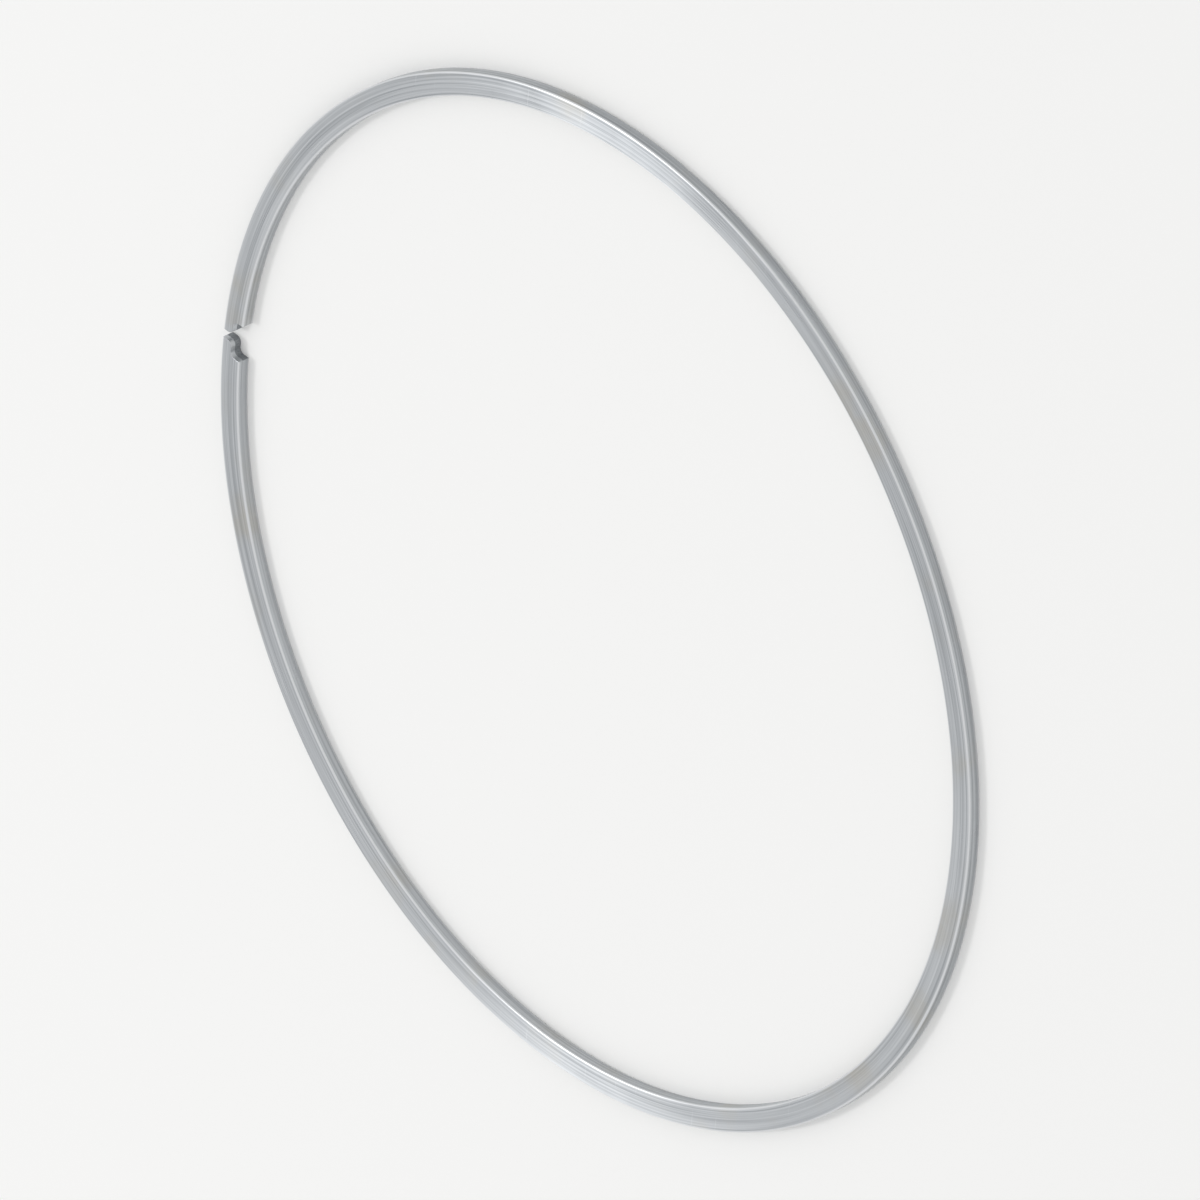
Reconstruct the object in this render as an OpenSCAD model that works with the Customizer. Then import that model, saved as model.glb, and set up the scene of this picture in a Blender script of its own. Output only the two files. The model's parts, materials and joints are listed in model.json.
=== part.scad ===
// Retaining ring: an open ring of flat spring wire that snaps into a groove and holds
// parts in place along its axis. Both ends are stepped. The outer half of the wire runs on
// as a tongue and the inner half is cut back, so the ends leave a narrow slit at the outer
// rim and a wider notch at the inner rim, where a blade lifts the ring out of its groove.
// Millimetres. The ring lies flat, its axis is Z, and its gap faces -Y.

/* [Ring] */
// Outside diameter of the ring as it lies free
ring_od = 165; // [120:1:220]
// Radial width of the flat wire
wire_w = 3.8; // [3:0.1:5]
// Thickness of the flat wire, along the ring's axis
wire_t = 2; // [1.4:0.1:3]
// Radius rolled on the long edges of the wire
edge_r = 0.2; // [0.1:0.05:0.4]

/* [Ends] */
// Width of the slit between the two tongues, at the outer rim
slit_w = 1.4; // [0.8:0.1:2]
// Width of the notch between the two ends, at the inner rim
notch_w = 6.3; // [5.5:0.1:9]
// Depth of the notch, as a share of the wire's radial width
notch_share = 0.5; // [0.4:0.05:0.6]
// Radius of the tongue's tip and of the step's root
step_r = 0.9; // [0.3:0.1:0.9]

/* [Hidden] */
outer_r = ring_od / 2;
inner_r = outer_r - wire_w;
step_at = inner_r + wire_w * notch_share;
// How far the cutting shape runs past the faces it cuts
past = 2;
$fn = 180;

// Section of the flat wire: a rectangle with rolled corners, at its place from the axis
module wire_section() {
    translate([inner_r, 0]) {
        translate([edge_r, 0])
            square([wire_w - 2 * edge_r, wire_t]);
        translate([0, edge_r])
            square([wire_w, wire_t - 2 * edge_r]);
        for (x = [edge_r, wire_w - edge_r], y = [edge_r, wire_t - edge_r])
            translate([x, y])
                circle(r = edge_r, $fn = 32);
    }
}

// Half of the gap in plan, from its middle line to one end of the wire. Here Y is the
// distance from the ring's axis.
module half_gap() {
    notch_low = inner_r - past;
    // slit beside the tongue
    translate([0, notch_low])
        square([slit_w / 2, outer_r + past - notch_low]);
    // notch, with the step's root rounded
    translate([0, notch_low])
        square([notch_w / 2 - step_r, step_at - notch_low]);
    translate([0, notch_low])
        square([notch_w / 2, step_at - step_r - notch_low]);
    translate([notch_w / 2 - step_r, step_at - step_r])
        circle(r = step_r, $fn = 64);
    // what rounding the tongue's tip takes away
    difference() {
        translate([0, step_at - step_r])
            square([slit_w / 2 + step_r, 2 * step_r]);
        translate([slit_w / 2 + step_r, step_at + step_r])
            circle(r = step_r, $fn = 64);
    }
}

// The whole gap between the two ends, turned to face -Y and standing through the ring
module gap() {
    translate([0, 0, -past])
        rotate([0, 0, 180])
            linear_extrude(height = wire_t + 2 * past) {
                half_gap();
                mirror([1, 0])
                    half_gap();
            }
}

module ring() {
    color("#b4b8bd")
        difference() {
            rotate_extrude()
                wire_section();
            gap();
        }
}

ring();
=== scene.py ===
import json
import math

import bmesh
import bpy
from mathutils import Matrix, Vector


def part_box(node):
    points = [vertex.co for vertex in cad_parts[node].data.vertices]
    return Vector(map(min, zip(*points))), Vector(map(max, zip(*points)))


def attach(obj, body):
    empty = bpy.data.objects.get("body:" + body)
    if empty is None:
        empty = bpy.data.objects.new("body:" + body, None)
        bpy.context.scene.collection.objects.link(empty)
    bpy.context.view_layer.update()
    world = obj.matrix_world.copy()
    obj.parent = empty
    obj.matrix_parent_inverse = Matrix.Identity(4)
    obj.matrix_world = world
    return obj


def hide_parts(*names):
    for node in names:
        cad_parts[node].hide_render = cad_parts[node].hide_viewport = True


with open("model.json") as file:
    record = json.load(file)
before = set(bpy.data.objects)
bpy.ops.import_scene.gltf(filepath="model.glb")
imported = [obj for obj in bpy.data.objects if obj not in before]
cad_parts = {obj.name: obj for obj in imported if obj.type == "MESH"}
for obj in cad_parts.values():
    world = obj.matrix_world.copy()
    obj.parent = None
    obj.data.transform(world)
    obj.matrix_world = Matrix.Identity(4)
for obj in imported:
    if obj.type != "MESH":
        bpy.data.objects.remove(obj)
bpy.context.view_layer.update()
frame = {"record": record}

mm = 0.001

# Wire and ends, in millimetres. The diameters and the thickness come from the frame.
wire = {
    "slitWidth": 1.4,      # between the two tongues, at the outer rim
    "notchWidth": 6.3,     # between the two ends, at the inner rim
    "notchShare": 0.5,     # depth of the notch, as a share of the radial width
    "stepRadius": 0.9,     # tongue's tip and step's root
    "rolledEdge": 0.2,     # radius that rolling leaves on the long edges
    "brokenEdge": 0.05,    # what tumbling leaves on the sheared ends
    "aroundSteps": 360,    # from the notch half way round
    "arcSteps": 8,         # round the tongue's tip, and round the step's root
    "edgeSteps": 4,        # over each rolled edge
    "sharpAngle": 50,      # degrees; edges sharper than this are rolled or broken
}


def mountRadius(name):
    return next(m["dims"]["r_mm"] for m in frame["record"]["mounts"] if m["name"] == name)


outerRadius = mountRadius("rim")
innerRadius = mountRadius("bore")
ringLow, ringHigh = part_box("ring")
thickness = (ringHigh[2] - ringLow[2]) / mm
stepLevel = innerRadius + (outerRadius - innerRadius) * wire["notchShare"]
print("frame loaded:", outerRadius * 2, "mm across,", thickness, "mm thick")


# Plan of the ring. A point is (distance from the gap's middle line, distance from the axis
# along that line), so the gap's middle is straight ahead and each end is the other's mirror.
def onCircle(radius, angle):
    return Vector((radius * math.sin(angle), radius * math.cos(angle)))


def arc(centre, radius, start, end):
    steps = wire["arcSteps"]
    angles = [math.radians(start + (end - start) * i / steps) for i in range(steps + 1)]
    return [Vector(centre) + radius * Vector((math.cos(a), math.sin(a))) for a in angles]


def halfOutlines():
    # The inner outline runs from the tongue's outer corner down its tip, along the step and
    # half way round the inner rim. The outer one follows the rim at equal shares of its length.
    tip, side, bend = wire["slitWidth"] / 2, wire["notchWidth"] / 2, wire["stepRadius"]
    tipAngle = math.asin(tip / outerRadius)
    sideAngle = math.asin(side / innerRadius)
    tongueTip = arc((tip + bend, stepLevel + bend), bend, 180, 270)
    stepRoot = arc((side - bend, stepLevel - bend), bend, 90, 0)
    rim, foot = onCircle(outerRadius, tipAngle), onCircle(innerRadius, sideAngle)
    thirds = [i / 3 for i in range(3)]
    inner = [rim.lerp(tongueTip[0], i) for i in thirds] + tongueTip + stepRoot
    inner += [foot.lerp(stepRoot[-1], i) for i in reversed(thirds)]
    shearedSteps = len(inner) - 1
    for i in range(1, wire["aroundSteps"] + 1):
        share = i / wire["aroundSteps"]
        inner.append(onCircle(innerRadius, sideAngle + (math.pi - sideAngle) * share))
    walked = [0]
    for before, after in zip(inner, inner[1:]):
        walked.append(walked[-1] + (after - before).length)
    angles = [tipAngle + (math.pi - tipAngle) * way / walked[-1] for way in walked]
    return inner, [onCircle(outerRadius, angle) for angle in angles], shearedSteps


def ringMesh():
    inner, outer, shearedSteps = halfOutlines()
    flip = Matrix(((-1, 0), (0, 1)))
    inner += [flip @ p for p in reversed(inner[:-1])]
    outer += [flip @ p for p in reversed(outer[:-1])]
    last = len(inner) - 1
    bm = bmesh.new()

    def row(points, z):
        return [bm.verts.new((p.x * mm, -p.y * mm, z)) for p in points]

    def face(*corners, sheared=False):
        made = bm.faces.new(list(dict.fromkeys(corners)))   # at the tips two corners are one
        made.material_index = int(sheared)

    sheets = []
    for z in (ringLow[2], ringHigh[2]):
        ins, outs = row(inner, z), row(outer[1:-1], z)
        sheets.append((ins, [ins[0], *outs, ins[-1]]))
    (lowIn, lowOut), (highIn, highOut) = sheets
    for k in range(last):
        n = k + 1
        cut = k < shearedSteps or n > last - shearedSteps
        face(highIn[k], highOut[k], highOut[n], highIn[n])
        face(lowIn[k], lowIn[n], lowOut[n], lowOut[k])
        face(lowIn[k], highIn[k], highIn[n], lowIn[n], sheared=cut)
        face(lowOut[k], lowOut[n], highOut[n], highOut[k])
    bmesh.ops.recalc_face_normals(bm, faces=bm.faces)

    # The long edges are rolled round, and the sheared ones are only broken
    weight = bm.edges.layers.float.new("bevel_weight_edge")
    for edge in bm.edges:
        if edge.calc_face_angle() > math.radians(wire["sharpAngle"]):
            sheared = any(side.material_index for side in edge.link_faces)
            edge[weight] = wire["brokenEdge"] / wire["rolledEdge"] if sheared else 1.0
    mesh = bpy.data.meshes.new("retaining_ring")
    bm.to_mesh(mesh)
    bm.free()
    mesh.shade_smooth()
    return mesh


def addRing(materials):
    ring = bpy.data.objects.new("retaining_ring", ringMesh())
    bpy.context.scene.collection.objects.link(ring)
    for material in materials:
        ring.data.materials.append(material)
    edges = ring.modifiers.new("edges", "BEVEL")
    edges.limit_method = "WEIGHT"
    edges.width = wire["rolledEdge"] * mm
    edges.segments = wire["edgeSteps"]
    edges.use_clamp_overlap = False    # the short faces of the step would hold it near nothing
    edges.harden_normals = True        # keeps the shading of the flats flat
    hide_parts("ring")
    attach(ring, "root")


# Turns an sRGB hex colour to linear
def colour(code):
    parts = [int(code[i:i + 2], 16) / 255 for i in (1, 3, 5)]
    linear = [p / 12.92 if p <= 0.04045 else ((p + 0.055) / 1.055) ** 2.4 for p in parts]
    return (*linear, 1)


# Adds a node. Each input takes a value, or an output of another node to link from.
def addNode(tree, kind, inputs=None, **settings):
    node = tree.nodes.new(kind)
    for name, value in settings.items():
        setattr(node, name, value)
    for name, value in (inputs or {}).items():
        if isinstance(value, bpy.types.NodeSocket):
            tree.links.new(value, node.inputs[name])
        else:
            node.inputs[name].default_value = value
    return node


def newMaterial(name):
    material = bpy.data.materials.new(name)
    material.use_nodes = True
    material.node_tree.nodes.clear()
    return material, material.node_tree


# Cold-rolled spring steel, bright: high-carbon flat wire, drawn and rolled, coiled on edge and
# oiled. To the eye: a light cool grey with fine lines along the wire, rolled edges painted brighter,
# partly as rubbed wear and partly as a painted highlight, a soft uneven haze, and highlights that
# spread across the wire.
rolledLook = {
    "light": "#C9CCCF",
    "dark": "#94989C",
    "straw": "#B5AC98",       # faint tint that stress relief leaves
    # tone of the rubbed wear and painted highlight along the rolled edges, and of the scratches
    "edge": "#DADCDE",
    "lineWidth": 0.16,        # mm; real drawing lines are about 0.03, too fine to show
    "lineLength": 30,         # mm
    "bandWidth": 0.7,         # mm, broader streaks from the rolls
    "bandLength": 90,         # mm
    "hazeSize": 14,           # mm
    "scratchWidth": 0.15,     # mm
    "scratchLength": 6,       # mm
    "scratchTurns": (20, 65, -35),   # degrees from the X axis
    "rubAndHighlightWidth": 0.25,      # mm in from where flat and wall would meet; width of the rubbed wear and painted highlight
    "lineHeight": 0.004,      # mm
    "smooth": 0.19,           # roughness where the haze is thin
    "hazy": 0.33,             # roughness where it is thick
    "lineRoughness": 0.12,    # more of it in the lines
    "spread": 0.85,           # how far highlights spread across the lines, up to 1
}


def rolledSteel(look):
    material, tree = newMaterial("cold_rolled_spring_steel")
    place = addNode(tree, "ShaderNodeTexCoord").outputs["Object"]
    part = addNode(tree, "ShaderNodeSeparateXYZ", {0: place}).outputs
    level = addNode(tree, "ShaderNodeVectorMath", {0: place, 1: (1, 1, 0)}, operation="MULTIPLY")
    radius = addNode(tree, "ShaderNodeVectorMath", {0: level.outputs[0]}, operation="LENGTH")

    # Lines and bands along the wire. Radius and height together run across it on every side,
    # and a cell of the noise holds one light line and one dark.
    across = addNode(tree, "ShaderNodeMath", {
        0: radius.outputs["Value"], 1: part["Z"]}, operation="ADD")
    along = addNode(tree, "ShaderNodeCombineXYZ", {
        "X": part["X"], "Y": part["Y"], "Z": across.outputs[0]})
    streaks = {}
    for name in ("line", "band"):
        cell = [1 / (2 * look[name + size] * mm) for size in ("Length", "Length", "Width")]
        drawn = addNode(tree, "ShaderNodeVectorMath", {
            0: along.outputs[0], 1: cell}, operation="MULTIPLY")
        streaks[name] = addNode(tree, "ShaderNodeTexNoise", {
            "Vector": drawn.outputs[0], "Scale": 1, "Detail": 6, "Roughness": 0.65}).outputs["Fac"]
    haze = addNode(tree, "ShaderNodeTexNoise", {
        "Vector": place, "Scale": 1 / (look["hazeSize"] * mm), "Detail": 4}).outputs["Fac"]

    # A few fine scratches from handling, in three directions
    scratches = 0
    cell = [1 / (2 * look[size] * mm) for size in ("scratchLength", "scratchWidth", "scratchWidth")]
    for turn in look["scratchTurns"]:
        lying = addNode(tree, "ShaderNodeMapping", {
            "Vector": place, "Rotation": (0, 0, math.radians(turn)), "Scale": cell})
        marks = addNode(tree, "ShaderNodeTexNoise", {
            "Vector": lying.outputs[0], "Scale": 1, "Detail": 1})
        scratches = addNode(tree, "ShaderNodeMath", {
            0: scratches, 1: marks.outputs["Fac"]}, operation="MAXIMUM").outputs[0]

    # How near the surface is to a rolled edge: it is furthest there from the middle of the wire,
    # across and up together. Rubbed wear and a painted highlight brighten it there.
    middle = ((outerRadius + innerRadius) / 2 * mm, thickness / 2 * mm)
    edgeRubAndHighlight = 0
    for value, centre in zip((radius.outputs["Value"], part["Z"]), middle):
        off = addNode(tree, "ShaderNodeMath", {0: value, 1: centre}, operation="SUBTRACT")
        off = addNode(tree, "ShaderNodeMath", {0: off.outputs[0]}, operation="ABSOLUTE")
        edgeRubAndHighlight = addNode(tree, "ShaderNodeMath", {
            0: off.outputs[0], 1: edgeRubAndHighlight}, operation="ADD").outputs[0]
    edgeRubAndHighlight = addNode(tree, "ShaderNodeMath", {
        0: haze, 1: look["rubAndHighlightWidth"] * mm, 2: edgeRubAndHighlight}, operation="MULTIPLY_ADD").outputs[0]
    corner = ((outerRadius - innerRadius) / 2 + thickness / 2) * mm

    # Tones laid over each other: the pattern, where it begins and is full, how strongly it covers
    layers = [
        (streaks["line"], 0.3, 0.7, 1.0, "light"),
        (streaks["band"], 0.35, 0.65, 0.45, "light"),
        (haze, 0.5, 0.75, 0.4, "straw"),
        # rubbed wear and painted highlight along the rolled edges
        (edgeRubAndHighlight, corner - look["rubAndHighlightWidth"] * mm, corner, 1.0, "edge"),
        (scratches, 0.76, 0.82, 0.5, "edge"),
    ]
    tone = colour(look["dark"])
    for pattern, begins, full, strength, name in layers:
        cover = addNode(tree, "ShaderNodeMapRange", {
            "Value": pattern, "From Min": begins, "From Max": full, "To Max": strength,
        }, interpolation_type="SMOOTHSTEP")
        tone = addNode(tree, "ShaderNodeMix", {
            "Factor": cover.outputs[0], 6: tone, 7: colour(look[name])}, data_type="RGBA").outputs[2]

    # the haze seldom leaves 0.3 to 0.7
    hazed = addNode(tree, "ShaderNodeMapRange", {
        "Value": haze, "From Min": 0.3, "From Max": 0.7,
        "To Min": look["smooth"], "To Max": look["hazy"]})
    rough = addNode(tree, "ShaderNodeMath", {
        0: streaks["line"], 1: look["lineRoughness"], 2: hazed.outputs[0]}, operation="MULTIPLY_ADD")
    bump = addNode(tree, "ShaderNodeBump", {
        "Height": streaks["line"], "Strength": 1, "Distance": look["lineHeight"] * mm})
    around = addNode(tree, "ShaderNodeTangent", direction_type="RADIAL", axis="Z")
    shader = addNode(tree, "ShaderNodeBsdfPrincipled", {
        "Base Color": tone,
        "Metallic": 1,
        "Roughness": rough.outputs[0],
        "Anisotropic": look["spread"],
        "Anisotropic Rotation": 0.25,    # a quarter turn, from along the wire to across it
        "Normal": bump.outputs[0],
        "Tangent": around.outputs[0],
    })
    addNode(tree, "ShaderNodeOutputMaterial", {"Surface": shader.outputs[0]})
    return material


# Sheared spring steel: the cut ends of the same wire. To the eye: a bright burnished band with
# upright scores where the blade went in, and a darker grainy break below it.
shearedLook = {
    "burnished": "#C4C7CA",
    "broken": "#84888C",
    "paintedGlint": "#A6A9AC",       # painted glint: grains of the break made lighter, as if they faced the light
    "bandShare": 0.42,        # of the thickness, from the top
    "bandWander": 0.3,        # mm that its border goes up and down
    "bandBlend": 0.1,         # mm from the one to the other
    "scoreWidth": 0.12,       # mm
    "scoreLength": 3,         # mm, upright
    "scoreDepth": 0.03,       # mm; real ones are about 0.01, too shallow to show
    "grainSize": 0.045,       # mm; real ones are about 0.02, too fine to show
    "grainHeight": 0.05,      # mm
    "burnishedRoughness": 0.45,
    "brokenRoughness": 0.62,
}


def shearedSteel(look):
    material, tree = newMaterial("sheared_spring_steel")
    place = addNode(tree, "ShaderNodeTexCoord").outputs["Object"]
    part = addNode(tree, "ShaderNodeSeparateXYZ", {0: place}).outputs
    cell = [1 / (2 * look[size] * mm) for size in ("scoreWidth", "scoreWidth", "scoreLength")]
    upright = addNode(tree, "ShaderNodeVectorMath", {0: place, 1: cell}, operation="MULTIPLY")
    scores = addNode(tree, "ShaderNodeTexNoise", {
        "Vector": upright.outputs[0], "Scale": 1}).outputs["Fac"]
    grain = addNode(tree, "ShaderNodeTexNoise", {
        "Vector": place, "Scale": 1 / (2 * look["grainSize"] * mm), "Detail": 4}).outputs["Fac"]

    # The border between band and break wanders with the scores
    border = (thickness * (1 - look["bandShare"]) + look["bandWander"] / 2) * mm
    wander = addNode(tree, "ShaderNodeMath", {
        0: scores, 1: look["bandWander"] * mm, 2: part["Z"]}, operation="MULTIPLY_ADD")
    blend = look["bandBlend"] / 2 * mm
    burnished = addNode(tree, "ShaderNodeMapRange", {
        "Value": wander.outputs[0], "From Min": border - blend, "From Max": border + blend,
    }).outputs[0]

    # Tones: one for the band, and for the grains of the break one tone and a painted glint
    paintedGlints = addNode(tree, "ShaderNodeMapRange", {
        "Value": grain, "From Min": 0.38, "From Max": 0.68}, interpolation_type="SMOOTHSTEP")
    tone = addNode(tree, "ShaderNodeMix", {
        "Factor": paintedGlints.outputs[0], 6: colour(look["broken"]), 7: colour(look["paintedGlint"]),
    }, data_type="RGBA")
    tone = addNode(tree, "ShaderNodeMix", {
        "Factor": burnished, 6: tone.outputs[2], 7: colour(look["burnished"])}, data_type="RGBA")
    rough = addNode(tree, "ShaderNodeMapRange", {
        "Value": burnished, "To Min": look["brokenRoughness"], "To Max": look["burnishedRoughness"]})

    # Relief: shallow scores in the band, and deeper grain in the break
    relief = addNode(tree, "ShaderNodeMix", {
        "Factor": burnished, 2: grain, 3: scores}, data_type="FLOAT")
    depth = addNode(tree, "ShaderNodeMapRange", {
        "Value": burnished, "To Min": look["grainHeight"] * mm, "To Max": look["scoreDepth"] * mm})
    bump = addNode(tree, "ShaderNodeBump", {
        "Height": relief.outputs[0], "Strength": 1, "Distance": depth.outputs[0]})
    shader = addNode(tree, "ShaderNodeBsdfPrincipled", {
        "Base Color": tone.outputs[2],
        "Metallic": 1,
        "Roughness": rough.outputs[0],
        "Normal": bump.outputs[0],
    })
    addNode(tree, "ShaderNodeOutputMaterial", {"Surface": shader.outputs[0]})
    return material


# Camera, floor and light. The camera looks down on the lying ring and is rolled, so that the
# ring's long diameter and its gap lie in the frame as they do in the drawing. It is a parallel
# camera, as the drawing's is.
studio = {
    "tilt": 54.74,           # degrees between the ring's axis and the view
    "roll": 65.99,           # degrees from level down to the ring's long diameter
    "gapFaces": -90,         # degrees from the X axis
    "gapTurn": 135,          # degrees from the long diameter round to the gap
    "frameWidth": 0.176,     # m across the picture
    "cameraAway": 1,         # m
    "floor": "#F7F7F6",
    "floorRoughness": 0.9,
    "floorSize": 6,          # m
    "fill": 0.84,            # of white, from all round
    "seen": 0.90,            # of white, where the surround itself is seen or mirrored
    "keyFrom": (0.18, -0.8, 1.0),
    "keyAway": 2.2,          # m
    "keySize": 0.4,          # m
    "keyPower": 8,           # W
}


def viewAxes():
    gap, turn, tilt, roll = (math.radians(studio[k]) for k in ("gapFaces", "gapTurn", "tilt", "roll"))
    longAxis = Vector((math.cos(gap + turn), math.sin(gap + turn), 0))
    shortAxis = Vector((math.cos(gap - turn), math.sin(gap - turn), 0))
    up = Vector((0, 0, 1))
    shortSeen = math.cos(tilt) * shortAxis - math.sin(tilt) * up
    towards = math.sin(tilt) * shortAxis + math.cos(tilt) * up
    right = math.cos(roll) * longAxis + math.sin(roll) * shortSeen
    above = -math.sin(roll) * longAxis + math.cos(roll) * shortSeen
    return right, above, towards


def addCamera():
    right, above, towards = viewAxes()
    data = bpy.data.cameras.new("camera")
    data.type = "ORTHO"
    data.ortho_scale = studio["frameWidth"]
    camera = bpy.data.objects.new("camera", data)
    bpy.context.scene.collection.objects.link(camera)
    target = Vector((0, 0, thickness / 2 * mm))
    turned = Matrix((right, above, towards)).transposed().to_4x4()
    camera.matrix_world = Matrix.Translation(target + towards * studio["cameraAway"]) @ turned
    bpy.context.scene.camera = camera


def addKey():
    data = bpy.data.lights.new("key", "AREA")
    data.size = studio["keySize"]
    data.energy = studio["keyPower"]
    key = bpy.data.objects.new("key", data)
    direction = Vector(studio["keyFrom"]).normalized()
    key.location = direction * studio["keyAway"]
    key.rotation_euler = direction.to_track_quat("Z", "Y").to_euler()
    bpy.context.scene.collection.objects.link(key)


def addFloor():
    half = studio["floorSize"] / 2
    mesh = bpy.data.meshes.new("floor")
    corners = [(-half, -half, 0), (half, -half, 0), (half, half, 0), (-half, half, 0)]
    mesh.from_pydata(corners, [], [(0, 1, 2, 3)])
    floor = bpy.data.objects.new("floor", mesh)
    bpy.context.scene.collection.objects.link(floor)
    material, tree = newMaterial("pale_floor")
    shader = addNode(tree, "ShaderNodeBsdfPrincipled", {
        "Base Color": colour(studio["floor"]), "Roughness": studio["floorRoughness"]})
    addNode(tree, "ShaderNodeOutputMaterial", {"Surface": shader.outputs[0]})
    mesh.materials.append(material)


def addWorld():
    # Nearly white where it is seen or mirrored, and a plain fill where it only lights
    world = bpy.data.worlds.new("studio")
    world.use_nodes = True
    tree = world.node_tree
    tree.nodes.clear()
    path = addNode(tree, "ShaderNodeLightPath").outputs
    seen = path["Is Camera Ray"]
    for ray in ("Is Glossy Ray", "Is Transmission Ray"):
        seen = addNode(tree, "ShaderNodeMath", {
            0: seen, 1: path[ray]}, operation="MAXIMUM").outputs[0]
    strength = addNode(tree, "ShaderNodeMapRange", {
        "Value": seen, "To Min": studio["fill"], "To Max": studio["seen"]})
    light = addNode(tree, "ShaderNodeBackground", {
        "Color": (1, 1, 1, 1), "Strength": strength.outputs[0]})
    addNode(tree, "ShaderNodeOutputWorld", {"Surface": light.outputs[0]})
    bpy.context.scene.world = world


addCamera()
addWorld()
addFloor()
addKey()
bpy.context.scene.view_settings.view_transform = "Standard"
print("camera, floor and lights ready")

addRing([rolledSteel(rolledLook), shearedSteel(shearedLook)])
print("ring made")
